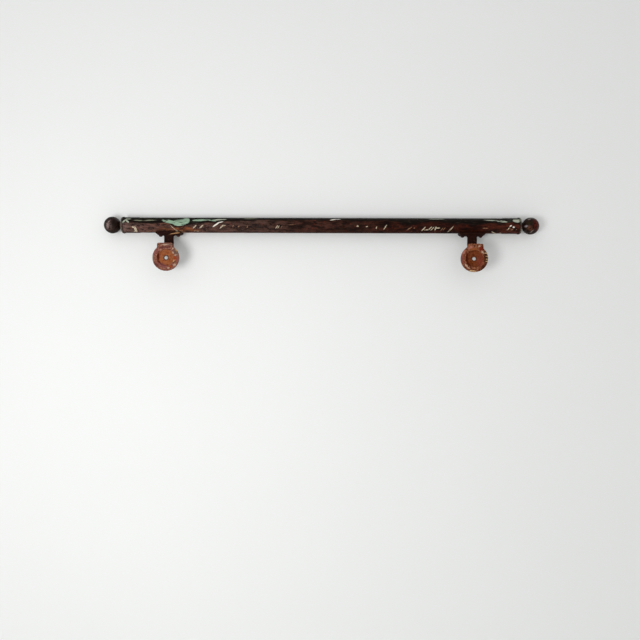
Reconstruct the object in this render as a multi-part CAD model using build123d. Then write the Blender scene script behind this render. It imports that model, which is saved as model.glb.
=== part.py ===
from build123d import *
import os
from math import cos, radians, sin, sqrt

# A wall curtain rod: a seamed steel tube with a pressed ferrule and a screwed ball finial at each
# end, carried by two cast brackets whose saddles are screwed up into strips inside the tube.
# Frame, in millimetres: the origin is on the wall, midway between the two wall screw holes.
# X runs along the rod, Y out of the wall into the room and Z up.

# Rod tube
tube_od = 25.4
tube_wall = 1.2
tube_length = 670.0
seam_gap = 0.4
seam_angle = 56.0  # below the horizontal, on the wall side
axis_standoff = 27.0  # rod axis to wall
axis_rise = 57.0  # rod axis above the wall screw holes

# Clearances
slip = 0.05  # radial, between pieces that slide or turn in each other
seat_gap = 0.1  # between the finial's faces and what they screw up against
screw_play = 0.2  # radial, round a screw that passes through a hole

# Ferrules on the tube's ends
ferrule_wall = 0.4
ferrule_length = 31.0
ferrule_end = 0.8
rim_od = 28.0
rim_width = 5.2
tack_inset = 20.0  # from the ferrule's end face
tack_angle = 28.0  # below the horizontal, on the wall side
tack_d = 1.6
tack_head_d = 3.6
tack_head_h = 0.9
tack_head_round = 0.55
tack_depth = 8.0  # below the ferrule's skin

# Wooden plugs in the tube's ends
plug_length = 44.0
plug_fit = 0.1
plug_chamfer = 1.5

# Finials
ball_d = 28.2
ball_seat_d = 13.6
collar_length = 3.1
collar_foot_d = 13.0
collar_waist_d = 10.6
stud_d = 6.35
stud_pitch = 2.54
stud_turns = 8
stud_point = 5.0  # length of the stud's tapered point
stud_in_ball = 17.0
stud_end_gap = 0.5

# Brackets
bracket_inset = 81.0  # bracket's middle to the tube's end
flange_d = 44.4
flange_depth = 8.0
flange_draft = 3.0  # degrees
flange_edge_r = 1.8  # towards the room
rim_edge_r = 0.7  # towards the wall
recess_d = 27.6
recess_floor_d = 25.4
recess_depth = 4.0
screw_hole_d = 5.4
countersink_d = 9.6
lug_outer = 15.0  # lug's reach from the screw hole, towards the rod's end
lug_inner = 11.6  # the same, towards the rod's middle
lug_rise = 2.7  # lug's top above the round
lug_corner_r = 2.6
lug_waist_r = 2.5  # hollow corner where the lug meets the round
arm_width = 15.6
arm_thick = 7.0
limb_rise = 15.5  # middle of the arm's level limb above the screw hole
neck_inset = 4.0  # middle of the arm's neck to the rod axis, towards the wall
bend_r = 9.5  # along the middle of the arm
web_r = 3.2  # hollow flare of the web between neck and saddle
web_thick = 4.4
saddle_length = 43.6
saddle_base_length = 37.0
saddle_width = 18.0
saddle_thick = 5.2
saddle_pad = 0.5  # depth of the flat cut along the saddle's underside
saddle_bevel = 3.4  # height of the bevel on the saddle's ends
saddle_wrap = 1.4  # saddle's upper edges above the tube's lowest line
casting_edge_r = 1.2

# Saddle screws and the tapped strips inside the tube
screw_offset = 15.0  # from the bracket's middle
screw_d = 4.2
screw_head_d = 6.6
screw_head_h = 2.4
screw_slot_w = 1.0
screw_slot_depth = 1.0
screw_tail = 1.5  # beyond the strip
strip_length = 42.0
strip_thick = 4.0

# Derived sizes
tube_r = tube_od / 2
bore_r = tube_r - tube_wall
face_x = tube_length / 2 + ferrule_end
skirt_r = tube_r + slip
plug_r = bore_r - plug_fit
stud_r = stud_d / 2
stud_travel = stud_pitch * stud_turns
ball_r = ball_d / 2
ball_flat = sqrt(ball_r**2 - (ball_seat_d / 2) ** 2)
collar_end_x = face_x + seat_gap + collar_length
ball_x = collar_end_x + seat_gap + ball_flat
bracket_x = tube_length / 2 - bracket_inset
lug_top = flange_d / 2 + lug_rise
seat_r = tube_r + slip
saddle_r = seat_r + saddle_thick
saddle_lip = seat_r - saddle_wrap  # saddle's upper edges below the rod axis
pad_z = axis_rise - saddle_r + saddle_pad
strip_r = bore_r - slip
shank_r = screw_d / 2


def axis_plane(x):
    """Plane through the rod axis: local x runs along the rod, local y is the radius."""
    return Plane(origin=(x, axis_standoff, axis_rise), x_dir=(1, 0, 0), z_dir=(0, -1, 0))


def turned(x, outline):
    """Half section in (along, radius) from the point x of the rod axis, turned round that axis."""
    plane = axis_plane(x)
    return revolve(plane * make_face(outline), Axis(plane.origin, (1, 0, 0)))


def rod_bar(x, length, radius):
    """Round bar on the rod axis, from x outward."""
    return turned(x, Polyline((0, 0), (length, 0), (length, radius), (0, radius), close=True))


def upright_bar(x, low, high, radius):
    """Round bar along Z through the rod axis."""
    place = Pos(x, axis_standoff, low)
    return place * extrude(Circle(radius), high - low)


def tack_bar(start, length, radius):
    """Round bar square to the rod axis along the tack's line, from radius start outward."""
    wall_ward = cos(radians(tack_angle))
    down = sin(radians(tack_angle))
    x = face_x - tack_inset
    origin = (x, axis_standoff - start * wall_ward, axis_rise - start * down)
    plane = Plane(origin=origin, x_dir=(1, 0, 0), z_dir=(0, -wall_ward, -down))
    return plane * extrude(Circle(radius), length)


def tack_bore():
    return tack_bar(skirt_r + ferrule_wall - tack_depth, tack_depth + skirt_r, tack_d / 2 + slip)


def saddle_bores():
    bores = Part()
    for x in (bracket_x - screw_offset, bracket_x + screw_offset):
        bores += upright_bar(x, pad_z - screw_head_h, axis_rise, shank_r + screw_play)
    return bores


def make_tube():
    plane = axis_plane(-tube_length / 2)
    section = Polyline((0, bore_r), (tube_length, bore_r), (tube_length, tube_r), (0, tube_r), close=True)
    tube = revolve(plane * make_face(section), Axis(plane.origin, (1, 0, 0)))
    seam = Pos(0, -(bore_r + tube_r) / 2, 0) * Box(tube_length, 2 * tube_wall, seam_gap)
    tube -= Pos(0, axis_standoff, axis_rise) * Rot(seam_angle, 0, 0) * seam
    for cut in (tack_bore(), saddle_bores()):
        tube -= cut
        tube -= mirror(cut, Plane.YZ)
    return tube


def make_ferrule():
    skin = skirt_r + ferrule_wall
    rim_r = rim_od / 2
    hole_r = stud_r + screw_play
    line = Polyline(
        (0, skin),
        (0, hole_r),
        (-ferrule_end, hole_r),
        (-ferrule_end, skirt_r),
        (-ferrule_length, skirt_r),
        (-ferrule_length, skin),
        (-rim_width, skin),
    )
    bead = ThreePointArc((-rim_width, skin), (-rim_width / 2, rim_r), (0, skin))
    return turned(face_x, line + bead) - tack_bore()


def make_tack():
    skin = skirt_r + ferrule_wall
    shank = tack_bar(skin - tack_depth, tack_depth, tack_d / 2)
    head = tack_bar(skin, tack_head_h, tack_head_d / 2)
    far_edge = head.edges().filter_by(GeomType.CIRCLE).sort_by(Axis.Y)[0]
    return shank + fillet(far_edge, tack_head_round)


def make_end_plug():
    outer = tube_length / 2
    plug = rod_bar(outer - plug_length, plug_length, plug_r)
    inner_rim = plug.edges().filter_by(GeomType.CIRCLE).sort_by(Axis.X)[0]
    plug = chamfer(inner_rim, plug_chamfer)
    depth = stud_travel + stud_point + stud_end_gap
    plug -= rod_bar(outer - depth, depth, stud_r + slip)
    return plug - tack_bore()


def make_stud():
    tip = tube_length / 2 - stud_travel - stud_point
    end = ball_x - ball_flat + stud_in_ball
    length = end - tip
    line = Polyline((0, 0), (length, 0), (length, stud_r), (stud_point, stud_r), close=True)
    return turned(tip, line)


def make_collar():
    bore = stud_r + slip
    foot = collar_foot_d / 2
    line = Polyline((0, foot), (0, bore), (collar_length, bore), (collar_length, foot))
    scotia = ThreePointArc((collar_length, foot), (collar_length / 2, collar_waist_d / 2), (0, foot))
    return turned(face_x + seat_gap, line + scotia)


def make_ball():
    seat = ball_seat_d / 2
    bore = stud_r + slip
    depth = stud_in_ball + stud_end_gap
    line = Polyline((-ball_flat, seat), (-ball_flat, bore), (depth - ball_flat, bore), (depth - ball_flat, 0))
    line += Line((depth - ball_flat, 0), (ball_r, 0))
    round_side = ThreePointArc((ball_r, 0), (0, ball_r), (-ball_flat, seat))
    return turned(ball_x, line + round_side)


def flange():
    """The round wall flange with its lug, sunk on the wall side and bored for the wall screw."""
    lug = Pos((lug_inner - lug_outer) / 2, lug_top / 2) * Rectangle(lug_outer + lug_inner, lug_top)
    lug = fillet(lug.vertices().group_by(Axis.Y)[-1], lug_corner_r)
    outline = Circle(flange_d / 2) + lug
    outline = fillet(outline.vertices().sort_by(Axis.Y)[:2], lug_waist_r)
    wall = Plane(origin=(0, 0, 0), x_dir=(-1, 0, 0), z_dir=(0, 1, 0))
    blank = extrude(wall * outline, flange_depth, taper=flange_draft)
    blank = fillet(blank.faces().sort_by(Axis.Y)[-1].outer_wire().edges(), flange_edge_r)
    blank = fillet(blank.faces().sort_by(Axis.Y)[0].outer_wire().edges(), rim_edge_r)
    hole_r = screw_hole_d / 2
    sink_r = countersink_d / 2
    hollow = Polyline(
        (0, 0),
        (recess_d / 2, 0),
        (recess_floor_d / 2, recess_depth),
        (hole_r, recess_depth),
        (hole_r, flange_depth - sink_r + hole_r),
        (sink_r, flange_depth),
        (0, flange_depth),
        close=True,
    )
    return blank - revolve(make_face(hollow), Axis.Y)


def arm():
    """The gooseneck: a flat bar, level out of the flange and bent up into the neck under the saddle."""
    root_y = flange_depth / 2
    neck_y = axis_standoff - neck_inset
    neck_top = axis_rise - seat_r
    bends = FilletPolyline((root_y, limb_rise), (neck_y, limb_rise), (neck_y, neck_top), radius=bend_r)
    start = Plane(origin=(0, root_y, limb_rise), x_dir=(1, 0, 0), z_dir=(0, 1, 0))
    return sweep(start * RectangleRounded(arm_width, arm_thick, casting_edge_r), Plane.YZ * bends)


def neck_web():
    """A web that flares from the neck's sides into the saddle's underside, short of the screw heads."""
    flare_r = min(web_r, screw_offset - screw_head_d / 2 - arm_width / 2)
    root = saddle_thick / 2  # sunk in the saddle
    web = Pos(0, pad_z + (root - flare_r) / 2) * Rectangle(arm_width + 2 * flare_r, flare_r + root)
    for side in (-1, 1):
        web -= Pos(side * (arm_width / 2 + flare_r), pad_z - flare_r) * Circle(flare_r)
    return Pos(0, axis_standoff - neck_inset, 0) * extrude(Plane.XZ * web, web_thick / 2, both=True)


def saddle():
    """A trough under the tube with a flat along its underside and bevelled ends."""
    ring = Circle(saddle_r) - Circle(seat_r)
    height = saddle_r - saddle_pad - saddle_lip
    band = Pos(0, -saddle_lip - height / 2) * Rectangle(saddle_width, height)
    section = Plane(origin=(0, axis_standoff, axis_rise), x_dir=(0, 1, 0), z_dir=(1, 0, 0)) * (ring & band)
    trough = extrude(section, saddle_length / 2, both=True)
    lips = trough.edges().filter_by(Axis.X).group_by(Axis.Z)[-1].sort_by(Axis.Y)
    land = saddle_width / 2 - sqrt(seat_r**2 - saddle_lip**2)
    trough = fillet([lips[0], lips[-1]], min(casting_edge_r, land / 2))
    top = axis_rise - saddle_lip
    bevel_z = pad_z + saddle_bevel
    outline = Polyline(
        (-saddle_length / 2, top),
        (saddle_length / 2, top),
        (saddle_length / 2, bevel_z),
        (saddle_base_length / 2, pad_z),
        (-saddle_base_length / 2, pad_z),
        (-saddle_length / 2, bevel_z),
        close=True,
    )
    return trough & extrude(Plane.XZ * make_face(outline), -2 * axis_standoff)


def make_bracket():
    casting = flange() + arm() + neck_web() + saddle()
    casting = Pos(bracket_x, 0, 0) * casting
    return casting - saddle_bores()


def make_nut_strip():
    strip = rod_bar(bracket_x - strip_length / 2, strip_length, strip_r)
    low = axis_rise - strip_r
    keep = Pos(bracket_x, axis_standoff, low + strip_thick / 2) * Box(strip_length, 2 * strip_r, strip_thick)
    strip &= keep
    for x in (bracket_x - screw_offset, bracket_x + screw_offset):
        strip -= upright_bar(x, low, low + strip_thick, shank_r + slip)
    return strip


def make_saddle_screw(side):
    """A slotted round-head screw, outer for side 1 and inner for side -1."""
    x = bracket_x + side * screw_offset
    tip = axis_rise - strip_r + strip_thick + screw_tail
    head_r = screw_head_d / 2
    dome_r = (head_r**2 + screw_head_h**2) / (2 * screw_head_h)
    line = Polyline((0, -screw_head_h), (0, tip - pad_z), (shank_r, tip - pad_z), (shank_r, 0), (head_r, 0))
    flank = head_r * cos(radians(45))
    drop = dome_r - screw_head_h - sqrt(dome_r**2 - flank**2)
    line += ThreePointArc((head_r, 0), (flank, drop), (0, -screw_head_h))
    plane = Plane(origin=(x, axis_standoff, pad_z), x_dir=(1, 0, 0), z_dir=(0, -1, 0))
    screw = revolve(plane * make_face(line), Axis(plane.origin, (0, 0, 1)))
    slot_z = pad_z - screw_head_h + screw_slot_depth / 2
    return screw - Pos(x, axis_standoff, slot_z) * Box(screw_head_d, screw_slot_w, screw_slot_depth)


right_hand = {
    "ferrule": make_ferrule(),
    "ferrule_tack": make_tack(),
    "end_plug": make_end_plug(),
    "finial_stud": make_stud(),
    "finial_collar": make_collar(),
    "finial_ball": make_ball(),
    "bracket": make_bracket(),
    "nut_strip": make_nut_strip(),
    "outer_saddle_screw": make_saddle_screw(1),
    "inner_saddle_screw": make_saddle_screw(-1),
}

os.makedirs("parts", exist_ok=True)
export_step(make_tube(), "parts/rod_tube.step")
for name, piece in right_hand.items():
    export_step(piece, f"parts/right_{name}.step")
    export_step(mirror(piece, Plane.YZ), f"parts/left_{name}.step")
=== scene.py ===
from math import atan2, copysign, cos, degrees, hypot, pi, radians, sin

import bmesh
import bpy
from mathutils import Matrix, Vector, noise


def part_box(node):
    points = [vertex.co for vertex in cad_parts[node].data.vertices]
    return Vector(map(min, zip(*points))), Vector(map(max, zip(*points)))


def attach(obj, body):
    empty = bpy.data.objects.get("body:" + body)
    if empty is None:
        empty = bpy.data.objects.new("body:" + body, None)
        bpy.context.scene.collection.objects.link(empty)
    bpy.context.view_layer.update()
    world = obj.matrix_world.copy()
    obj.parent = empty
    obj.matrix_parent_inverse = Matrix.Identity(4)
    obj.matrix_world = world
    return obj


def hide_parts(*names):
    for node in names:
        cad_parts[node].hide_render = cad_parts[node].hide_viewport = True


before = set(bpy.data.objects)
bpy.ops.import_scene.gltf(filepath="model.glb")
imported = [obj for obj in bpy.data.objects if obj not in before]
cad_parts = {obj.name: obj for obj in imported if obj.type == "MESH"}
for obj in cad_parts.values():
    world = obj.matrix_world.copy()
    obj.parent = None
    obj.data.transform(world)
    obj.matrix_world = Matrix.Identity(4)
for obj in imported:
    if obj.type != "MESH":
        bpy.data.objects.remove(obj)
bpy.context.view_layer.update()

MM = 0.001
SIDES = ("left", "right")

# The rod's ends are drawn back from the balls, so that the necks have their real length: how far they move,
# and how much of each end moves, in metres
NECK_TRIM = 1.8 * MM
END_PART = 6.5 * MM

# Places taken from the frame, in metres
tube_low, tube_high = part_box("rod_tube")
ROD_Y = (tube_low[1] + tube_high[1]) / 2
ROD_Z = (tube_low[2] + tube_high[2]) / 2
ROD_RADIUS = (tube_high[2] - tube_low[2]) / 2
ROD_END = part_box("right_ferrule")[1][0] - NECK_TRIM
COLLAR_FOOT, COLLAR_TOP = (corner[0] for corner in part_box("right_finial_collar"))

# Camera fitted to the photograph, in metres and degrees
PHOTO_SIDE = 640
SENSOR = 36.0
PIXELS_PER_METRE = 594.9
CAMERA_DISTANCE = 1.15
CAMERA_X = 0.0325
CAMERA_Z = -0.1018
CAMERA_YAW = 1.55
CAMERA_ROLL = 0.35

# Display wall behind the rod's room side and floor, in metres, their tones, and how much clouds lift these
WALL_GAP = 2.8 * MM
WALL_Y = ROD_Y + ROD_RADIUS + WALL_GAP
FLOOR_Z = -1.1
STAGE_HALF = 4.0
WALL_TONE = (0.83, 0.84, 0.83, 1.0)
FLOOR_TONE = (0.8, 0.8, 0.79, 1.0)
CLOUD_LIFT = 1.02

# Surroundings, as they light the rod and as the camera sees them, and lamps in metres and watts
AMBIENT = 0.72
PALE = 0.86
KEY_PLACE = (-0.55, -1.1, -0.29)
KEY_SIZE = 0.42
KEY_POWER = 6.5
ROOM_LAMP_PLACE = (1.2, 2.2, 2.4)
ROOM_LAMP_SIZE = 1.5
ROOM_LAMP_POWER = 24.0


def srgb(red, green, blue):
    """A colour written as it looks on screen, from 0 to 255, as the linear colour that shaders take."""
    linear = []
    for level in (red, green, blue):
        share = level / 255
        linear.append(share / 12.92 if share <= 0.04045 else ((share + 0.055) / 1.055) ** 2.4)
    return (*linear, 1.0)


# Paint and rust tones of the rod
BLACK = srgb(15, 9, 6)
WORN_BLACK = srgb(48, 36, 28)
DARK_BLOTCH = srgb(22, 8, 5)
DARK_GRAIN = srgb(38, 16, 10)
RED_BROWN = srgb(108, 44, 26)
DUST = srgb(108, 84, 80)
DARK_SCRATCH = srgb(40, 42, 34)
RUBBED_RIM = srgb(104, 98, 86)
MINT = srgb(140, 166, 142)
PALE_MINT = srgb(180, 194, 174)
GREY_MINT = srgb(100, 114, 98)
FADED_MINT = srgb(166, 172, 154)
OLIVE_MINT = srgb(122, 124, 104)
WHITE_PAINT = srgb(226, 220, 208)
CREAM = srgb(200, 184, 158)
TAN = srgb(140, 102, 78)
ORANGE_RUST = srgb(114, 64, 32)

# Tones of the castings, with the light and dark grain on their paint and on their rust
BLACK_BROWN = srgb(32, 11, 6)
LIGHT_IRON = srgb(56, 26, 18)
WORN_EDGE = srgb(84, 46, 32)
WORN_FACE = srgb(84, 48, 34)
# Dark rust in concave hollows, which also stands as painted shade there
HOLLOW_RUST_AND_SHADE = srgb(66, 32, 22)
FLAKE = srgb(184, 156, 134)
CHIP_TAN = srgb(182, 138, 96)
PAINT_GRAIN = (srgb(62, 34, 26), srgb(14, 7, 5))
RUST_GRAIN = (srgb(176, 126, 100), srgb(70, 34, 24))

# Tones of the balls, screws, steel and wood
BALL_BLACK = srgb(16, 8, 5)
BALL_SCUFF = srgb(44, 28, 22)
BALL_SPECK = srgb(104, 82, 72)
SCREW_RUST = srgb(96, 50, 32)
STEEL = srgb(150, 144, 138)
DARK_RUST = srgb(70, 38, 26)
LIGHT_RUST = srgb(104, 62, 42)
DARK_WOOD = srgb(150, 112, 74)
LIGHT_WOOD = srgb(196, 160, 114)

# Brown paint along the rod: place in mm and tone
BROWN_ALONG = [
    (-338, srgb(92, 72, 66)),
    (-300, srgb(90, 64, 56)),
    (-255, srgb(84, 52, 38)),
    (-200, srgb(76, 52, 44)),
    (-110, srgb(64, 46, 39)),
    (-20, srgb(56, 33, 26)),
    (60, srgb(42, 24, 18)),
    (120, srgb(50, 22, 13)),
    (165, srgb(38, 13, 7)),
    (260, srgb(46, 15, 7)),
    (338, srgb(66, 30, 20)),
]
# Lower edge of the near-black paint along the rod: place, and height round the rod, in mm
BLACK_EDGE = [
    (-338, 3.0),
    (-300, 1.2),
    (-262, 2.4),
    (-215, 1.6),
    (-182, 1.4),
    (-150, 5.0),
    (-110, 7.6),
    (20, 7.8),
    (110, 7.0),
    (150, 1.6),
    (185, 5.6),
    (225, 2.2),
    (262, 0.2),
    (285, 2.6),
    (338, 5.6),
]
# The most that this edge can rise, and how far clouds move it, in mm
EDGE_REACH = 12.0
EDGE_WANDER = 9.0
# Where the room side begins round the rod, from the line that faces the wall, in mm
ROOM_SIDE = (22.0, 27.0)
# Clouds in the brown paint: the least level and how far it swings up
CLOUD_LEAST = 0.36
CLOUD_SWING = 1.2

# Marks on the rod. Along the rod and round it from the line that faces the wall, up positive, in mm:
# place along, place round, half length, half width, tilt in degrees
MINT_PATCHES = [
    (-250, 4.6, 15, 3.0, -10),
    (-234, 3.6, 13, 6.0, 4),
    (-224, 6.8, 6.5, 6.0, 40),
    (-200, 7.6, 13, 2.0, 2),
    (-182, 7.4, 9, 1.2, -8),
]
FADED_PATCHES = [
    (-328.4, 4.4, 4.6, 1.3, 56),
    (-322.8, 5.2, 4.4, 1.4, -42),
    (-321.5, 9.6, 4.5, 1.2, 0),
    (-168, 8.8, 12, 1.3, 3),
    (195, 11.8, 14, 0.8, 0),
    (284, 8.4, 12, 0.9, -5),
    (301, 6.4, 10, 1.6, -8),
    (327, 7.8, 7.4, 3.8, 4),
]
GREY_MINT_PATCHES = [
    (-304, 6.6, 8, 0.9, 0),
    (-285, 7.0, 10, 1.0, 3),
    (-117, 12, 11, 1.0, 0),
]
PALE_PATCHES = [
    (-173, -0.6, 6.4, 1.2, 34),
    (-166, 3.6, 5.0, 0.8, 14),
    (22.5, 9.4, 5.4, 1.0, 14),
    (31, 10.6, 4.4, 0.6, 6),
    (315.6, -1.6, 2.0, 1.0, 35),
    (320.6, -3.6, 1.7, 1.2, 0),
]
DARK_STREAKS = [
    (-257, 5.9, 3.4, 1.0, 27),
    (-238.5, 5.8, 9.5, 0.5, 0),
    (-238, 8.4, 10, 0.8, 3),
    (-208, 4.4, 9, 1.6, 0),
    (296, 7.4, 8, 0.5, -8),
    (314, 6.4, 4.0, 2.6, 20),
    (327, 10.4, 5.0, 0.7, 4),
]
RUST_PATCHES = [
    (-230, -8, 15, 5.0, 4),
    (-212, -11, 9, 3.0, 4),
    (-262, -10, 8, 3, 0),
]
# Chips of old cream paint: both ends of each stroke along and round the rod, and its width, in mm
CREAM_STROKES = [
    ((-315.5, -5.2), (-310, -5.2), 2.6),
    ((-309.6, -6), (-308.6, -12.8), 4.2),
    ((-312.5, -13), (-309, -13.4), 1.8),
    ((-241, -13.4), (-233, -16.4), 2.4),
    ((-249, -2.6), (-237, -14.6), 1.1),
    ((-211.5, -6.4), (-206.5, -1.8), 1.8),
    ((-200, -6), (-195, -1.6), 1.9),
    ((-211, -12.8), (-201, -12.8), 0.9),
    ((-166, -6.4), (-161.5, -1.8), 2.1),
    ((-161.5, -2.6), (-157.5, -1.6), 1.3),
    ((-73, -6.4), (-70, -2), 1.4),
    ((-69.8, -6.2), (-67.4, -2.4), 1.2),
    ((62.5, -2.6), (63.9, -2.4), 2.2),
    ((78, -3.4), (79.2, -3), 1.8),
    ((94.2, -6.6), (95, -3.8), 1.4),
    ((107, -7.6), (111.2, -0.9), 1.6),
    ((170.2, -9.8), (175, -4.2), 1.8),
    ((174.6, -9), (181, -8.6), 1.6),
    ((180.2, -9.4), (185.6, -3.6), 1.6),
    ((184.8, -9.4), (189.4, -4.2), 1.5),
    ((191.4, -9.2), (193, -4), 2.2),
    ((193.4, -5.6), (198.8, -5.2), 1.8),
    ((213.2, -13), (221.2, -3), 1.5),
    ((286.4, -13), (293.6, -18.5), 1.9),
    ((299.2, -16.5), (301, -16.8), 1.7),
    ((310.6, -8.4), (313.6, -4.6), 1.4),
]
TAN_STROKES = [
    ((-296, -13.5), (-262, -14), 1.0),
    ((-233, -16.6), (-214, -17.6), 1.0),
    ((-236, -12.6), (-231, -12.4), 2.8),
    ((-145.2, -4), (-143.8, -1.6), 1.6),
    ((-135.6, -4), (-134.6, -2.8), 1.8),
    ((-121, -5.4), (-120, -2.4), 1.5),
    ((-63.4, -4.4), (-62.4, -2.4), 1.1),
    ((-53.6, -0.6), (-40.6, -0.2), 0.8),
    ((145.4, -9), (152.3, -4.3), 1.6),
    ((156.8, -6), (157.8, -5.4), 1.3),
    ((201.4, -9.8), (204.4, -5.2), 1.3),
    ((205, -9), (208, -5), 1.3),
    ((270.8, -5.8), (277.8, -5.6), 1.6),
    ((316.8, -8.2), (319.2, -7), 2.2),
    ((325, -7.8), (325.8, -7.4), 1.3),
]
# Worn rim at each end of the rod: its inner edge, and the dark painted shadow line inside that, from the
# rod's end in mm
RIM_WIDTH = 3.4
RIM_SHADOW_START = 4.6

# Rust on the flanges' wall side: dark, middle and light tones of the rim and of the sunk floor, and a
# darker ring round the screw hole
FLANGE_TONES = {
    "left": {
        "rim": [srgb(76, 38, 32), srgb(122, 74, 60), srgb(164, 120, 102)],
        "floor": [srgb(108, 54, 30), srgb(158, 88, 48), srgb(182, 116, 76)],
        "ring": srgb(76, 56, 50),
    },
    "right": {
        "rim": [srgb(58, 24, 12), srgb(112, 62, 40), srgb(158, 104, 74)],
        "floor": [srgb(66, 26, 4), srgb(112, 52, 18), srgb(142, 74, 40)],
        "ring": srgb(74, 36, 18),
    },
}
# Marks on the same side: a tone, the softness of its edges, and marks from the screw hole, right and up
# positive, in mm: place across, place up, half length, half width, tilt in degrees
FLANGE_MARKS_AND_PAINTED_SHADE = {
    "left": [
        # Dark crescent inside the sunk floor's left and lower-left edge: painted shade of the recess wall,
        # together with dirt
        (srgb(96, 36, 20), 1.0, [(-12.6, 2.0, 7.0, 1.9, 90), (-10.6, -8.4, 5.0, 1.6, -52)]),
        (srgb(128, 74, 70), 1.2, [(-4.6, -13.0, 8.0, 2.6, -24), (-16.0, 10.0, 6.0, 1.8, 60)]),
        (srgb(92, 52, 46), 1.0, [(-2.0, 17.0, 11.0, 1.6, 0), (-15.0, -12.0, 6.0, 1.6, -45)]),
        (srgb(100, 78, 68), 1.2, [(16.2, 9.0, 6.0, 2.6, 118), (4.0, 21.6, 8.0, 1.6, 0)]),
        (srgb(138, 60, 26), 0.8, [(8.3, -14.8, 3.2, 1.9, 30), (15.6, -0.6, 3.6, 1.8, 80)]),
        (srgb(132, 62, 48), 0.9, [(19.0, -3.0, 4.6, 1.6, 92)]),
        (srgb(64, 44, 22), 0.8, [(13.8, -8.0, 1.8, 1.2, 40), (-13.6, 20.6, 2.6, 1.0, 20)]),
        (srgb(178, 138, 92), 0.9, [(13.6, -5.4, 2.2, 1.3, 60), (17.4, 12.6, 3.0, 0.9, 115)]),
        (srgb(136, 112, 92), 1.0, [(-20.8, 1.0, 7.0, 1.0, 90)]),
    ],
    "right": [
        # Dark crescent inside the sunk floor's left and lower-left edge: painted shade of the recess wall,
        # together with dirt
        (srgb(78, 22, 4), 1.0, [(-12.4, 2.0, 9.0, 2.2, 92), (-9.6, -9.0, 5.6, 1.9, -50)]),
        (srgb(128, 60, 42), 1.4, [(9.0, -3.0, 4.6, 9.0, 0)]),
        (srgb(166, 106, 90), 1.2, [(-7.0, 18.0, 3.8, 2.2, 20), (-17.4, 10.6, 4.4, 1.8, 62)]),
        (srgb(128, 70, 62), 1.0, [(-19.0, 2.0, 5.0, 1.6, 88), (-18.6, -6.0, 3.6, 1.4, 108)]),
        (srgb(140, 78, 42), 1.0, [(-1.0, 15.4, 7.0, 1.8, 0)]),
        (srgb(62, 28, 12), 1.2, [(18.6, 0.0, 3.4, 12.0, 0), (14.6, -13.6, 8.0, 2.8, 42)]),
        (srgb(112, 26, 10), 0.7, [(10.4, 16.6, 4.4, 2.8, 105)]),
        (srgb(28, 12, 6), 0.7, [
            (14.4, 19.0, 4.8, 1.6, 100),
            (18.2, 11.4, 3.4, 1.1, -8),
            (19.4, 6.4, 3.4, 1.2, -4),
            (20.4, 1.4, 2.8, 0.9, 0),
            (20.2, -2.8, 2.8, 0.8, 6),
        ]),
        (srgb(206, 172, 124), 0.6, [
            (19.2, 8.9, 3.6, 0.6, 0),
            (20.4, 3.7, 2.4, 0.5, 0),
            (20.4, -0.7, 2.4, 0.5, 0),
            (20.2, -4.7, 2.4, 0.5, 0),
            (-2.7, -20.4, 6.0, 0.8, -4),
        ]),
    ],
}
# Flakes of wall paint stuck to the flanges, as the same five numbers
FLANGE_FLAKES = {
    "left": [
        (12.3, 14.9, 1.8, 1.1, 60),
        (12.4, 7.8, 2.0, 1.0, 110),
        (16.4, 3.9, 2.2, 1.1, 30),
        (14.9, -12.0, 2.4, 1.2, 20),
        (4.6, -17.2, 1.8, 1.0, 0),
        (-0.9, 21.2, 5.4, 0.7, 2),
    ],
    "right": [
        (7.7, 20.4, 1.8, 1.1, 20),
        (12.6, 10.6, 2.6, 1.3, 130),
        (-13.6, -11.4, 3.4, 1.3, 128),
        (-9.4, -15.6, 2.6, 0.8, -34),
    ],
}

# Patches on the balls, some of them painted highlights and painted shade: a tone, the softness of its
# edges, and marks from the ball's middle, in mm
BALL_PATCHES_AND_PAINTED_LIGHT = {
    "left": [
        # Lighter patches towards the left of the left ball
        (srgb(84, 66, 62), 1.6, [(-0.6, -1.6, 6.4, 7.0, 0)]),
        (srgb(134, 114, 110), 1.6, [(-3.6, -2.0, 2.4, 4.6, -14), (-1.4, 3.6, 3.4, 1.0, 50)]),
        # Darker right side of the left ball, away from the lamp: painted shade
        (srgb(22, 12, 8), 1.2, [(7.0, 1.6, 4.0, 7.0, 8)]),
    ],
    "right": [
        (srgb(88, 20, 2), 1.6, [(6.0, 2.0, 4.6, 9.0, 0)]),
        (srgb(92, 52, 34), 1.4, [(-4.6, -4.8, 4.4, 3.4, -30)]),
        (srgb(40, 30, 12), 1.4, [(-5.0, 3.6, 4.0, 2.6, 20)]),
        # Pale grey spot at the right ball's left: painted highlight
        (srgb(150, 140, 142), 1.4, [(-10.6, -1.4, 2.0, 1.4, 0)]),
        # Pale grey streak along the right ball's lower edge: painted highlight
        (srgb(126, 112, 104), 1.4, [(-1.0, -9.8, 3.0, 0.8, 40)]),
        (srgb(122, 112, 108), 1.4, [(-4.2, 10.6, 3.0, 0.9, 24)]),
    ],
}
# Chips on the saddles and arms: stroke ends from the screw hole, right and up positive, and widths, in mm
CASTING_CHIPS = {
    "left": [((-0.2, 39.6), (9, 42.0), 1.8), ((8, 42.0), (18.5, 43.2), 1.5)],
    "right": [((2.4, 32.3), (3.4, 32.4), 1.4)],
}
# How far out from the wall these chips reach, and how long they take to fade, in mm
CHIP_DEPTH = 20.0
CHIP_FADE = 2.0

# Zones of the castings, each from where its change begins to where it ends, in mm: the sunk floor and the
# ring round the screw hole, the worn room face, and the bare rust by its depth from the wall and its height
FLOOR_ZONE = (14.4, 12.8)
HOLE_RING_ZONE = (5.3, 3.5)
ROOM_FACE_ZONE = (23.0, 21.0)
BARE_DEPTH = (5.6, 3.8)
BARE_HEIGHT = (27.5, 25.5)
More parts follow.
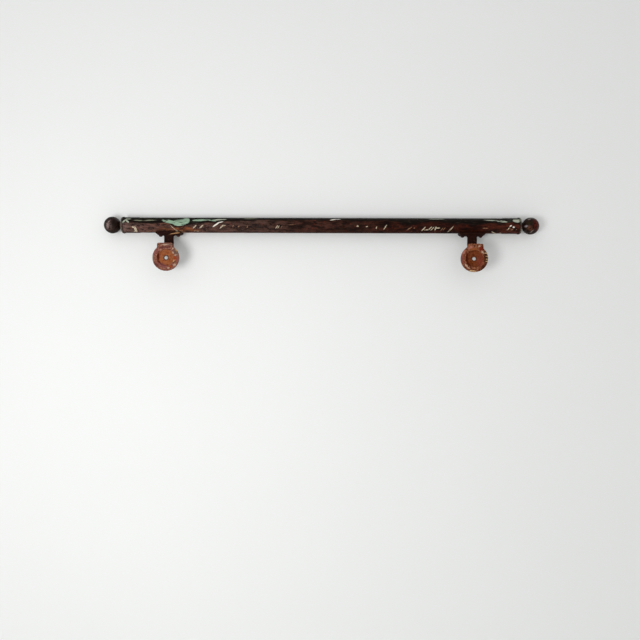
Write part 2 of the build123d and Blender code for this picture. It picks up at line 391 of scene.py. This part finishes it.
# How far scale moves the edge of the bare rust, in mm, and the noise levels of the rust's three tones
BARE_WANDER = 4.0
RUST_LEVELS = (0.38, 0.50, 0.62)

# Skin of the castings: voxels, sink and pits in metres, and the noise that shapes the pits
CASTING_VOXEL = 0.55 * MM
CASTING_SINK = 0.12 * MM
CASTING_PIT = 0.45 * MM
PIT_SPACING = 2.6 * MM
PIT_ROUGHNESS = 0.9
PIT_LACUNARITY = 2.0
PIT_OCTAVES = 4
PIT_LEVEL = 0.5
PIT_SHARPNESS = 1.5
PIT_GAIN = 2.0

# Worn lug on top of each flange: its zone above the screw hole and out from the wall, in metres, and how
# often and how strongly it is smoothed
LUG_LOW = 15.5 * MM
LUG_HIGH = 27.0 * MM
LUG_DEPTH = 9.0 * MM
LUG_PASSES = 24
LUG_SMOOTHING = 0.5

# Finial studs, in metres and counts
THREAD_PITCH = 2.54 * MM
THREAD_CUT = 0.75 * MM
STUD_POINT = 5.0 * MM
RING_STEP = 0.25 * MM
RING_SIDES = 40

# Colour sockets of a Mix node, by their numbers
MIX_FIRST = 6
MIX_SECOND = 7
MIX_RESULT = 2


def middle_x(node):
    """The middle of a node along the rod."""
    low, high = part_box(node)
    return (low[0] + high[0]) / 2


def link(thing):
    """Puts a new object in the scene."""
    bpy.context.scene.collection.objects.link(thing)
    return thing


class Shade:
    """A material's node tree, with one short method for each kind of node."""

    def __init__(self, name):
        self.material = bpy.data.materials.new(name)
        self.material.use_nodes = True
        self.tree = self.material.node_tree
        self.shader = self.tree.nodes["Principled BSDF"]

    def node(self, kind, **settings):
        made = self.tree.nodes.new(f"ShaderNode{kind}")
        for key, value in settings.items():
            setattr(made, key, value)
        return made

    def put(self, socket, value):
        """Links a socket to another node's output, or sets a plain value on it."""
        if isinstance(value, bpy.types.NodeSocket):
            self.tree.links.new(value, socket)
        else:
            socket.default_value = value

    def math(self, operation, *values):
        made = self.node("Math", operation=operation)
        for socket, value in zip(made.inputs, values):
            self.put(socket, value)
        return made.outputs[0]

    def vector(self, operation, first, second=(0, 0, 0)):
        made = self.node("VectorMath", operation=operation)
        self.put(made.inputs[0], first)
        self.put(made.inputs[1], second)
        return made.outputs["Value" if operation in ("LENGTH", "DOT_PRODUCT") else "Vector"]

    def join(self, x, y, z=0.0):
        made = self.node("CombineXYZ")
        for socket, value in zip(made.inputs, (x, y, z)):
            self.put(socket, value)
        return made.outputs[0]

    def split(self, vector):
        made = self.node("SeparateXYZ")
        self.put(made.inputs[0], vector)
        return made.outputs

    def millimetres(self):
        """A point's place in the shared frame, in mm."""
        place = self.node("TexCoord").outputs["Object"]
        return self.vector("MULTIPLY", place, (1 / MM, 1 / MM, 1 / MM))

    def drawn_out(self, vector, share):
        """The same place with lengths along the rod shrunk, which draws noise on it out along the rod."""
        return self.vector("MULTIPLY", vector, (share, 1.0, 1.0))

    def noise(self, vector, size, detail=3.0, roughness=0.55):
        """Noise whose blobs are about size mm across."""
        made = self.node("TexNoise")
        self.put(made.inputs["Vector"], vector)
        made.inputs["Scale"].default_value = 1 / size
        made.inputs["Detail"].default_value = detail
        made.inputs["Roughness"].default_value = roughness
        return made.outputs["Fac"]

    def wander(self, vector, size, reach):
        """The same place, moved about by up to reach mm, so that straight edges turn ragged."""
        made = self.node("TexNoise")
        self.put(made.inputs["Vector"], vector)
        made.inputs["Scale"].default_value = 1 / size
        made.inputs["Detail"].default_value = 3.0
        centred = self.vector("SUBTRACT", made.outputs["Color"], (0.5, 0.5, 0.5))
        return self.vector("ADD", vector, self.vector("MULTIPLY", centred, (reach, reach, reach)))

    def step(self, value, start, end):
        """0 at start and 1 at end, with a smooth change between."""
        made = self.node("MapRange", interpolation_type="SMOOTHSTEP")
        self.put(made.inputs["Value"], value)
        made.inputs["From Min"].default_value = start
        made.inputs["From Max"].default_value = end
        return made.outputs["Result"]

    def mix(self, share, first, second):
        """The first colour where share is 0, and the second where it is 1."""
        made = self.node("Mix", data_type="RGBA")
        self.put(made.inputs[0], share)
        self.put(made.inputs[MIX_FIRST], first)
        self.put(made.inputs[MIX_SECOND], second)
        return made.outputs[MIX_RESULT]

    def ramp(self, share, stops):
        """Colours that change along share, given by stops of place and colour."""
        made = self.node("ValToRGB")
        band = made.color_ramp
        while len(band.elements) < len(stops):
            band.elements.new(1.0)
        for element, (place, colour) in zip(band.elements, stops):
            element.position = place
            element.color = colour
        self.put(made.inputs[0], share)
        return made.outputs[0]

    def nearest(self, vector, marks):
        """The distance to the nearest mark: 0 at its middle and 1 at its edge."""
        least = None
        for along, across, half_length, half_width, tilt in marks:
            lengthwise = Vector((cos(radians(tilt)), sin(radians(tilt)), 0))
            sideways = Vector((-lengthwise.y, lengthwise.x, 0))
            offset = self.vector("SUBTRACT", vector, (along, across, 0))
            run = self.vector("DOT_PRODUCT", offset, lengthwise / half_length)
            rise = self.vector("DOT_PRODUCT", offset, sideways / half_width)
            away = self.vector("LENGTH", self.join(run, rise))
            least = away if least is None else self.math("MINIMUM", least, away)
        return least

    def marked(self, vector, marks, soft):
        """1 inside the marks and 0 outside them."""
        return self.step(self.nearest(vector, marks), 1.0 + soft / 2, 1.0 - soft / 2)

    def finish(self, colour, roughness, height, relief, strength=0.6, specular=0.15):
        """Puts a colour, a roughness and bumps up to relief metres high on the shader."""
        self.put(self.shader.inputs["Base Color"], colour)
        self.put(self.shader.inputs["Roughness"], roughness)
        self.shader.inputs["Specular IOR Level"].default_value = specular
        bump = self.node("Bump")
        bump.inputs["Strength"].default_value = strength
        bump.inputs["Distance"].default_value = relief
        self.put(bump.inputs["Height"], height)
        self.put(self.shader.inputs["Normal"], bump.outputs["Normal"])
        return self.material


def stroke_marks(strokes):
    """Strokes given by their ends, as marks."""
    marks = []
    for (start_u, start_v), (end_u, end_v), width in strokes:
        run = end_u - start_u
        rise = end_v - start_v
        middle = ((start_u + end_u) / 2, (start_v + end_v) / 2)
        marks.append((*middle, hypot(run, rise) / 2 + width / 2, width / 2, degrees(atan2(rise, run))))
    return marks


def unrolled(shade, place):
    """Places along the rod and round it, in mm, with 0 round it on the line that faces the wall."""
    x, y, z = shade.split(place)
    out = shade.math("SUBTRACT", ROD_Y / MM, y)
    up = shade.math("SUBTRACT", z, ROD_Z / MM)
    turn = shade.math("ARCTAN2", up, out)
    return x, shade.math("MULTIPLY", turn, ROD_RADIUS / MM)


def grey(level):
    """A level as a colour."""
    return (level, level, level, 1.0)


def rod_share(spot):
    """A place along the rod in mm, as a share of the whole rod from its left end."""
    return 0.5 + spot * MM / (2 * ROD_END)


def rod_paint():
    """Near-black paint over brown, worn through to mint and cream coats and to rust, with a painted shadow
    inside each rim.
    """
    shade = Shade("rod_paint")
    place = shade.millimetres()
    along, round_rod = unrolled(shade, place)
    flat = shade.join(along, round_rod)
    ragged = shade.wander(flat, size=5.0, reach=2.6)
    scratchy = shade.wander(flat, size=2.0, reach=0.9)
    mottle = shade.noise(place, size=3.5, detail=5.0, roughness=0.65)
    blotches = shade.noise(shade.drawn_out(place, 0.5), size=4.5, detail=5.0, roughness=0.65)
    streaks = shade.noise(shade.drawn_out(place, 0.18), size=1.6, detail=4.0, roughness=0.6)
    clouds = shade.noise(shade.drawn_out(place, 0.3), size=6.0, detail=4.0, roughness=0.6)
    grain = shade.noise(place, size=0.8, detail=2.0)

    # Brown coat
    share_along = shade.math("MULTIPLY_ADD", along, MM / (2 * ROD_END), 0.5)
    brown = shade.ramp(share_along, [(rod_share(spot), tone) for spot, tone in BROWN_ALONG])
    brown = shade.mix(shade.marked(ragged, RUST_PATCHES, soft=0.9), brown, ORANGE_RUST)
    brown = shade.mix(shade.step(blotches, 0.50, 0.36), brown, DARK_BLOTCH)
    brown = shade.mix(shade.step(streaks, 0.50, 0.34), brown, DARK_GRAIN)
    brown = shade.mix(shade.step(mottle, 0.54, 0.84), brown, RED_BROWN)
    level = shade.math("MULTIPLY_ADD", shade.step(clouds, 0.36, 0.62), CLOUD_SWING, CLOUD_LEAST)
    brown = shade.vector("MULTIPLY", brown, shade.join(level, level, level))
    left_part = shade.step(share_along, 0.46, 0.2)
    dusty = shade.math("MULTIPLY", shade.step(grain, 0.54, 0.68), left_part)
    brown = shade.mix(dusty, brown, DUST)

    # Near-black coat on the top and the room side
    edge_stops = [(rod_share(spot), grey(low / EDGE_REACH)) for spot, low in BLACK_EDGE]
    ragged_round = shade.split(ragged)[1]
    above_edge = shade.math("MULTIPLY_ADD", shade.ramp(share_along, edge_stops), -EDGE_REACH, ragged_round)
    cloud_depth = shade.math("SUBTRACT", 0.5, clouds)
    above_edge = shade.math("MULTIPLY_ADD", cloud_depth, EDGE_WANDER, above_edge)
    upper = shade.step(above_edge, -2.0, 1.6)
    room_side = shade.step(shade.math("ABSOLUTE", ragged_round), *ROOM_SIDE)
    worn_room = shade.step(shade.noise(place, size=14.0, detail=6.0, roughness=0.7), 0.50, 0.60)
    dark = shade.math("MAXIMUM", upper, room_side)
    dark = shade.math("SUBTRACT", dark, shade.math("MULTIPLY", worn_room, room_side))
    black = shade.mix(shade.step(streaks, 0.5, 0.72), BLACK, WORN_BLACK)
    colour = shade.mix(dark, brown, black)

    # Mint coats, with scratches through them
    mint_place = shade.nearest(ragged, MINT_PATCHES)
    faded_place = shade.nearest(ragged, FADED_PATCHES)
    outline = shade.step(shade.math("MINIMUM", mint_place, faded_place), 1.5, 1.1)
    colour = shade.mix(outline, colour, BLACK)
    solid = shade.step(streaks, 0.32, 0.46)
    faded = shade.math("MULTIPLY", shade.step(faded_place, 1.15, 0.8), solid)
    colour = shade.mix(faded, colour, FADED_MINT)
    mint = shade.math("MULTIPLY", shade.step(mint_place, 1.1, 0.92), solid)
    mint_tone = shade.ramp(streaks, [(0.30, GREY_MINT), (0.46, MINT), (0.58, MINT), (0.70, PALE_MINT)])
    colour = shade.mix(mint, colour, mint_tone)
    grey_coat = shade.math("MULTIPLY", shade.marked(ragged, GREY_MINT_PATCHES, soft=0.8), solid)
    colour = shade.mix(grey_coat, colour, OLIVE_MINT)
    remains = shade.noise(shade.drawn_out(place, 0.5), size=12.0, detail=5.0, roughness=0.6)
    islands = shade.math("MULTIPLY", shade.step(remains, 0.61, 0.65), room_side)
    colour = shade.mix(islands, colour, mint_tone)
    scratches = shade.math("MULTIPLY", shade.marked(scratchy, DARK_STREAKS, soft=0.8), 0.85)
    colour = shade.mix(scratches, colour, DARK_SCRATCH)

    # Rims at the rod's ends, each with a painted shadow line just inside it
    from_end = shade.math("SUBTRACT", ROD_END / MM, shade.math("ABSOLUTE", along))
    rim_start = shade.step(from_end, RIM_SHADOW_START, RIM_WIDTH)
    rim_end = shade.step(from_end, RIM_WIDTH, 0.0)
    # A dark band just inside each rim: painted shadow behind the rim
    rim_shadow = shade.math("MULTIPLY", shade.math("SUBTRACT", rim_start, rim_end), 0.8)
    colour = shade.mix(rim_shadow, colour, BLACK)
    rim = shade.step(from_end, RIM_WIDTH, 1.2)
    rubbed = shade.math("MULTIPLY", rim, shade.step(mottle, 0.40, 0.62))
    colour = shade.mix(rubbed, colour, RUBBED_RIM)

    # Chips of cream, tan and white
    broken = shade.step(shade.noise(flat, size=1.5, detail=3.0, roughness=0.6), 0.38, 0.50)
    cream = shade.math("MULTIPLY", shade.marked(scratchy, stroke_marks(CREAM_STROKES), soft=0.5), broken)
    colour = shade.mix(cream, colour, CREAM)
    tan = shade.math("MULTIPLY", shade.marked(scratchy, stroke_marks(TAN_STROKES), soft=0.7), broken)
    colour = shade.mix(tan, colour, TAN)
    colour = shade.mix(shade.marked(scratchy, PALE_PATCHES, soft=0.4), colour, WHITE_PAINT)

    coat = shade.math("MAXIMUM", shade.math("MAXIMUM", mint, faded), islands)
    roughness = shade.math("MULTIPLY_ADD", mottle, 0.35, 0.38)
    height = shade.math("ADD", shade.math("MULTIPLY", mottle, 0.6), shade.math("MULTIPLY", coat, 0.5))
    height = shade.math("ADD", height, shade.math("MULTIPLY", grain, 0.15))
    return shade.finish(colour, roughness, height, relief=0.25 * MM, specular=0.05)


def casting_paint(side, bracket_x):
    """Near-black painted iron, with a bare rusty wall side that keeps flakes of wall paint and has painted
    shade in its sunk floor.
    """
    shade = Shade(f"{side}_casting_paint")
    tones = FLANGE_TONES[side]
    place = shade.millimetres()
    x, y, z = shade.split(place)
    face = shade.join(shade.math("SUBTRACT", x, bracket_x / MM), z)
    ragged = shade.wander(shade.wander(face, size=3.5, reach=2.4), size=1.1, reach=1.2)
    scratchy = shade.wander(face, size=2.0, reach=0.9)
    scaly = shade.noise(place, size=2.8, detail=5.0, roughness=0.7)
    grain = shade.noise(place, size=0.8, detail=3.0)
    patches = shade.noise(place, size=7.0, detail=4.0, roughness=0.6)
    from_hole = shade.vector("LENGTH", face)
    edges = shade.node("NewGeometry").outputs["Pointiness"]

    # Painted iron
    iron = shade.mix(shade.step(scaly, 0.5, 0.72), BLACK_BROWN, LIGHT_IRON)
    iron = shade.mix(shade.step(edges, 0.54, 0.62), iron, WORN_EDGE)
    iron = shade.mix(shade.step(patches, 0.68, 0.72), iron, GREY_MINT)
    worn = shade.math("MULTIPLY", shade.step(patches, 0.46, 0.62), shade.step(from_hole, *ROOM_FACE_ZONE))
    iron = shade.mix(worn, iron, WORN_FACE)
    chips = shade.marked(scratchy, stroke_marks(CASTING_CHIPS[side]), soft=0.7)
    chips = shade.math("MULTIPLY", chips, shade.step(y, CHIP_DEPTH, CHIP_DEPTH - CHIP_FADE))
    iron = shade.mix(chips, iron, CHIP_TAN)

    # Bare rust on the flange's wall side, with painted shade on the sunk floor's left wall and in its
    # hollows
    rim = shade.ramp(scaly, list(zip(RUST_LEVELS, tones["rim"])))
    floor = shade.ramp(scaly, list(zip(RUST_LEVELS, tones["floor"])))
    rust_and_shade = shade.mix(shade.step(from_hole, *FLOOR_ZONE), rim, floor)
    # Marks on the bare side; the first of them are painted shade in the recess
    for tone, soft, marks in FLANGE_MARKS_AND_PAINTED_SHADE[side]:
        share = shade.math("MULTIPLY", shade.marked(ragged, marks, soft), shade.step(scaly, 0.24, 0.46))
        rust_and_shade = shade.mix(share, rust_and_shade, tone)
    # Darker in concave hollows: dark rust together with painted shade
    rust_and_shade = shade.mix(shade.step(edges, 0.47, 0.40), rust_and_shade, HOLLOW_RUST_AND_SHADE)
    flakes = shade.marked(ragged, FLANGE_FLAKES[side], soft=1.2)
    flakes = shade.math("MULTIPLY", flakes, shade.step(grain, 0.34, 0.46))
    rust_and_shade = shade.mix(flakes, rust_and_shade, FLAKE)
    rust_and_shade = shade.mix(shade.step(from_hole, *HOLE_RING_ZONE), rust_and_shade, tones["ring"])

    # Both together
    wandering = shade.math("MULTIPLY", shade.math("SUBTRACT", scaly, 0.5), BARE_WANDER)
    wall_side = shade.step(shade.math("ADD", y, wandering), *BARE_DEPTH)
    bare = shade.math("MULTIPLY", wall_side, shade.step(z, *BARE_HEIGHT))
    colour = shade.mix(bare, iron, rust_and_shade)
    light_grain, dark_grain = (shade.mix(bare, *pair) for pair in zip(PAINT_GRAIN, RUST_GRAIN))
    colour = shade.mix(shade.step(grain, 0.60, 0.74), colour, light_grain)
    colour = shade.mix(shade.step(grain, 0.40, 0.28), colour, dark_grain)

    rough_iron = shade.math("MULTIPLY_ADD", scaly, 0.3, 0.4)
    roughness = shade.math("MAXIMUM", rough_iron, shade.math("MULTIPLY", bare, 0.82))
    height = shade.math("ADD", scaly, shade.math("MULTIPLY", grain, 0.35))
    height = shade.math("ADD", height, shade.math("MULTIPLY", bare, 0.2))
    return shade.finish(colour, roughness, height, relief=0.3 * MM, specular=0.04)


def finial_paint(side, ball_x):
    """Near-black paint on a turned ball, rubbed to brown and grey in patches, beside painted highlights and
    shade.
    """
    shade = Shade(f"{side}_finial_paint")
    place = shade.millimetres()
    x, _, z = shade.split(place)
    across = shade.math("SUBTRACT", x, ball_x / MM)
    up = shade.math("SUBTRACT", z, ROD_Z / MM)
    ragged = shade.wander(shade.join(across, up), size=4.0, reach=3.4)
    blotch = shade.noise(place, size=7.0, detail=5.0, roughness=0.65)
    scuffs = shade.noise(place, size=2.6, detail=4.0, roughness=0.65)
    grain = shade.noise(place, size=0.9, detail=3.0)
    colour = shade.mix(shade.step(scuffs, 0.40, 0.62), BALL_BLACK, BALL_SCUFF)
    # Patches, among them painted highlights and painted shade
    for tone, soft, marks in BALL_PATCHES_AND_PAINTED_LIGHT[side]:
        share = shade.math("MULTIPLY", shade.marked(ragged, marks, soft), shade.step(scuffs, 0.34, 0.54))
        colour = shade.mix(share, colour, tone)
    colour = shade.mix(shade.step(grain, 0.66, 0.76), colour, BALL_SPECK)
    roughness = shade.math("MULTIPLY_ADD", scuffs, 0.5, 0.2)
    height = shade.math("ADD", blotch, shade.math("MULTIPLY", grain, 0.2))
    return shade.finish(colour, roughness, height, relief=0.2 * MM, specular=0.07)


def screw_paint():
    """Saddle screws painted over with the brackets, with rust in patches."""
    shade = Shade("screw_paint")
    place = shade.millimetres()
    blotch = shade.noise(place, size=1.6, detail=4.0, roughness=0.65)
    grain = shade.noise(place, size=0.5, detail=2.0)
    colour = shade.mix(shade.step(blotch, 0.48, 0.64), BLACK_BROWN, SCREW_RUST)
    roughness = shade.math("MULTIPLY_ADD", blotch, 0.4, 0.35)
    return shade.finish(colour, roughness, shade.math("ADD", blotch, grain), relief=0.1 * MM)


def steel(name, rust_start, rust_end):
    """Dull bare steel with brown rust in patches, which spread as the two noise levels come down."""
    shade = Shade(name)
    place = shade.millimetres()
    blotch = shade.noise(place, size=2.2, detail=5.0, roughness=0.65)
    grain = shade.noise(place, size=0.4, detail=3.0)
    rusty = shade.step(blotch, rust_start, rust_end)
    colour = shade.mix(rusty, STEEL, shade.mix(grain, DARK_RUST, LIGHT_RUST))
    roughness = shade.math("MULTIPLY_ADD", rusty, 0.4, 0.38)
    shade.put(shade.shader.inputs["Metallic"], shade.math("SUBTRACT", 1.0, rusty))
    return shade.finish(colour, roughness, shade.math("ADD", blotch, grain), relief=0.08 * MM)


def plug_wood():
    """Turned softwood with its grain along the rod."""
    shade = Shade("plug_wood")
    stretched = shade.drawn_out(shade.millimetres(), 0.08)
    rings = shade.noise(stretched, size=1.4, detail=4.0, roughness=0.6)
    pores = shade.noise(stretched, size=0.4, detail=2.0)
    colour = shade.mix(shade.step(rings, 0.38, 0.62), DARK_WOOD, LIGHT_WOOD)
    roughness = shade.math("MULTIPLY_ADD", pores, 0.3, 0.55)
    return shade.finish(colour, roughness, shade.math("ADD", rings, pores), relief=0.1 * MM)


def dress(material, *nodes):
    """Gives CAD nodes a material."""
    for name in nodes:
        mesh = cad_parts[name].data
        mesh.materials.clear()
        mesh.materials.append(material)


def soften_lug(mesh):
    """Rounds a bracket's lug as wear and paint have rounded it."""
    work = bmesh.new()
    work.from_mesh(mesh)
    lug = [point for point in work.verts if LUG_LOW < point.co.z < LUG_HIGH and point.co.y < LUG_DEPTH]
    every_way = {"use_axis_x": True, "use_axis_y": True, "use_axis_z": True}
    for _ in range(LUG_PASSES):
        bmesh.ops.smooth_vert(work, verts=lug, factor=LUG_SMOOTHING, **every_way)
    work.to_mesh(mesh)
    work.free()


def cast_copy(side, material):
    """The bracket with softened edges and a pitted skin, set just inside the CAD surface."""
    node = f"{side}_bracket"
    piece = link(bpy.data.objects.new(f"{side}_bracket_casting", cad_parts[node].data.copy()))
    skin = piece.modifiers.new("skin", "REMESH")
    skin.mode = "VOXEL"
    skin.voxel_size = CASTING_VOXEL
    evaluated = piece.evaluated_get(bpy.context.evaluated_depsgraph_get())
    mesh = bpy.data.meshes.new_from_object(evaluated)
    piece.modifiers.clear()
    piece.data = mesh
    soften_lug(mesh)
    moved = []
    for vertex in mesh.vertices:
        rough = noise.fractal(vertex.co / PIT_SPACING, PIT_ROUGHNESS, PIT_LACUNARITY, PIT_OCTAVES)
        depth = min(1.0, max(0.0, rough * PIT_LEVEL) ** PIT_SHARPNESS * PIT_GAIN)
        moved.append(vertex.co - vertex.normal * (CASTING_SINK + CASTING_PIT * depth))
    for vertex, place in zip(mesh.vertices, moved):
        vertex.co = place
    mesh.shade_smooth()
    mesh.materials.clear()
    mesh.materials.append(material)
    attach(piece, "rod_and_brackets")
    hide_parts(node)


def redrawn(node, name, body, material, pull):
    """A copy of a node whose points are pulled towards the rod's middle, as far as pull says for each."""
    piece = link(bpy.data.objects.new(name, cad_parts[node].data.copy()))
    for vertex in piece.data.vertices:
        vertex.co.x -= copysign(pull(abs(vertex.co.x)), vertex.co.x)
    piece.data.materials.clear()
    piece.data.materials.append(material)
    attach(piece, body)
    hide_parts(node)


def end_pull(reach):
    """Draws back only what is near the rod's end."""
    return NECK_TRIM if reach > ROD_END - END_PART else 0.0


def collar_pull(reach):
    """Stretches a collar from the ball to the drawn-back end."""
    return NECK_TRIM * (COLLAR_TOP - reach) / (COLLAR_TOP - COLLAR_FOOT)


def threaded_stud(side, material):
    """The finial's stud with a cut thread and a point at its inner end."""
    node = f"{side}_finial_stud"
    low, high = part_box(node)
    sign = 1 if side == "right" else -1
    tip = low[0] if side == "right" else high[0]
    length = high[0] - low[0]
    radius = (high[2] - low[2]) / 2
    core = radius - THREAD_CUT
    work = bmesh.new()
    rings = []
    count = int(length / RING_STEP)
    for index in range(count + 1):
        reach = length * index / count
        room = core + min(1.0, reach / STUD_POINT) * THREAD_CUT
        ring = []
        for corner in range(RING_SIDES):
            turn = 2 * pi * corner / RING_SIDES
            phase = (reach / THREAD_PITCH + corner / RING_SIDES) % 1.0
            crest = 1 - abs(2 * phase - 1)
            here = (core + crest * THREAD_CUT) * room / radius
            spot = (tip + sign * reach, ROD_Y + here * cos(turn), ROD_Z + here * sin(turn))
            ring.append(work.verts.new(spot))
        rings.append(ring)
    for first, second in zip(rings, rings[1:]):
        for corner in range(RING_SIDES):
            after = (corner + 1) % RING_SIDES
            work.faces.new((first[corner], first[after], second[after], second[corner]))
    work.faces.new(rings[0])
    work.faces.new(rings[-1])
    bmesh.ops.recalc_face_normals(work, faces=work.faces)
    mesh = bpy.data.meshes.new(f"{side}_threaded_stud")
    work.to_mesh(mesh)
    work.free()
    mesh.materials.append(material)
    piece = link(bpy.data.objects.new(f"{side}_threaded_stud", mesh))
    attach(piece, f"{side}_stud")
    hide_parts(node)


def sheet_of(name, corners, material):
    """A flat piece of the stage."""
    mesh = bpy.data.meshes.new(name)
    mesh.from_pydata(corners, [], [(0, 1, 2, 3)])
    mesh.materials.append(material)
    piece = link(bpy.data.objects.new(name, mesh))
    return piece


def pale_paint(name, tone):
    """Matt wall paint with a faint roller texture."""
    shade = Shade(name)
    place = shade.millimetres()
    cloud = shade.noise(place, size=160.0, detail=2.0)
    stipple = shade.noise(place, size=4.0, detail=3.0)
    lighter = tuple(level * CLOUD_LIFT for level in tone[:3])
    colour = shade.mix(cloud, tone, (*lighter, 1.0))
    roughness = shade.math("MULTIPLY_ADD", stipple, 0.1, 0.85)
    return shade, shade.finish(colour, roughness, stipple, relief=0.05 * MM, strength=0.1, specular=0.2)


def build_stage():
    """A display wall behind the rod that shows only from its front, and a floor."""
    half = STAGE_HALF
    round_square = ((-half, -half), (half, -half), (half, half), (-half, half))
    floor = pale_paint("floor_paint", FLOOR_TONE)[1]
    sheet_of("floor", [(x, y, FLOOR_Z) for x, y in round_square], floor)
    shade, paint = pale_paint("wall_paint", WALL_TONE)
    facing = shade.node("NewGeometry").outputs["Backfacing"]
    clear = shade.node("BsdfTransparent")
    either = shade.node("MixShader")
    shade.put(either.inputs[0], facing)
    shade.put(either.inputs[1], shade.shader.outputs[0])
    shade.put(either.inputs[2], clear.outputs[0])
    shade.put(shade.tree.nodes["Material Output"].inputs["Surface"], either.outputs[0])
    wall = sheet_of("display_wall", [(x, WALL_Y, max(z, FLOOR_Z)) for x, z in round_square], paint)
    wall.visible_shadow = False


def lamp(name, place, size, power, target):
    """A square lamp turned towards a target."""
    light = bpy.data.lights.new(name, "AREA")
    light.size = size
    light.energy = power
    piece = link(bpy.data.objects.new(name, light))
    piece.location = place
    piece.rotation_euler = (Vector(target) - Vector(place)).to_track_quat("-Z", "Y").to_euler()


def build_light():
    """A soft lamp left of and below the camera, a weak one on the room side, and pale surroundings."""
    target = (0.0, ROD_Y, ROD_Z)
    lamp("key", KEY_PLACE, KEY_SIZE, KEY_POWER, target)
    lamp("room_lamp", ROOM_LAMP_PLACE, ROOM_LAMP_SIZE, ROOM_LAMP_POWER, target)
    world = bpy.data.worlds.new("surroundings")
    bpy.context.scene.world = world
    world.use_nodes = True
    tree = world.node_tree
    background = tree.nodes["Background"]
    path = tree.nodes.new("ShaderNodeLightPath")
    seen = tree.nodes.new("ShaderNodeMath")
    seen.operation = "MAXIMUM"
    tree.links.new(path.outputs["Is Camera Ray"], seen.inputs[0])
    tree.links.new(path.outputs["Is Transmission Ray"], seen.inputs[1])
    level = tree.nodes.new("ShaderNodeMapRange")
    tree.links.new(seen.outputs[0], level.inputs["Value"])
    level.inputs["To Min"].default_value = AMBIENT
    level.inputs["To Max"].default_value = PALE
    tree.links.new(level.outputs["Result"], background.inputs["Color"])


def build_camera():
    """The photograph's view of the wall side."""
    data = bpy.data.cameras.new("camera")
    data.sensor_width = SENSOR
    data.lens = PIXELS_PER_METRE * CAMERA_DISTANCE * SENSOR / PHOTO_SIDE
    camera = link(bpy.data.objects.new("camera", data))
    camera.location = (CAMERA_X, ROD_Y - CAMERA_DISTANCE, CAMERA_Z)
    yaw = Matrix.Rotation(radians(CAMERA_YAW), 4, "Z")
    level = Matrix.Rotation(radians(90), 4, "X")
    roll = Matrix.Rotation(radians(CAMERA_ROLL), 4, "Z")
    camera.rotation_euler = (yaw @ level @ roll).to_euler()
    bpy.context.scene.camera = camera


build_camera()
build_light()
build_stage()

metal = steel("dull_steel", rust_start=0.48, rust_end=0.60)
rusted = steel("rusted_steel", rust_start=0.25, rust_end=0.40)
screws = screw_paint()
wood = plug_wood()
rod_coat = rod_paint()
redrawn("rod_tube", "rod_tube_skin", "rod_and_brackets", rod_coat, end_pull)
for side in SIDES:
    ball = f"{side}_finial_ball"
    collar = f"{side}_finial_collar"
    ferrule = f"{side}_ferrule"
    plug = f"{side}_end_plug"
    bracket = f"{side}_bracket"
    finial = finial_paint(side, middle_x(ball))
    cast_copy(side, casting_paint(side, middle_x(bracket)))
    threaded_stud(side, metal)
    dress(finial, ball)
    redrawn(collar, f"{side}_collar_skin", f"{side}_stud", finial, collar_pull)
    redrawn(ferrule, f"{side}_ferrule_skin", "rod_and_brackets", rod_coat, end_pull)
    redrawn(plug, f"{side}_plug_skin", "rod_and_brackets", wood, end_pull)
    dress(screws, f"{side}_outer_saddle_screw", f"{side}_inner_saddle_screw")
    dress(rusted, f"{side}_ferrule_tack")
    dress(metal, f"{side}_nut_strip")

bpy.context.scene.view_settings.view_transform = "Standard"
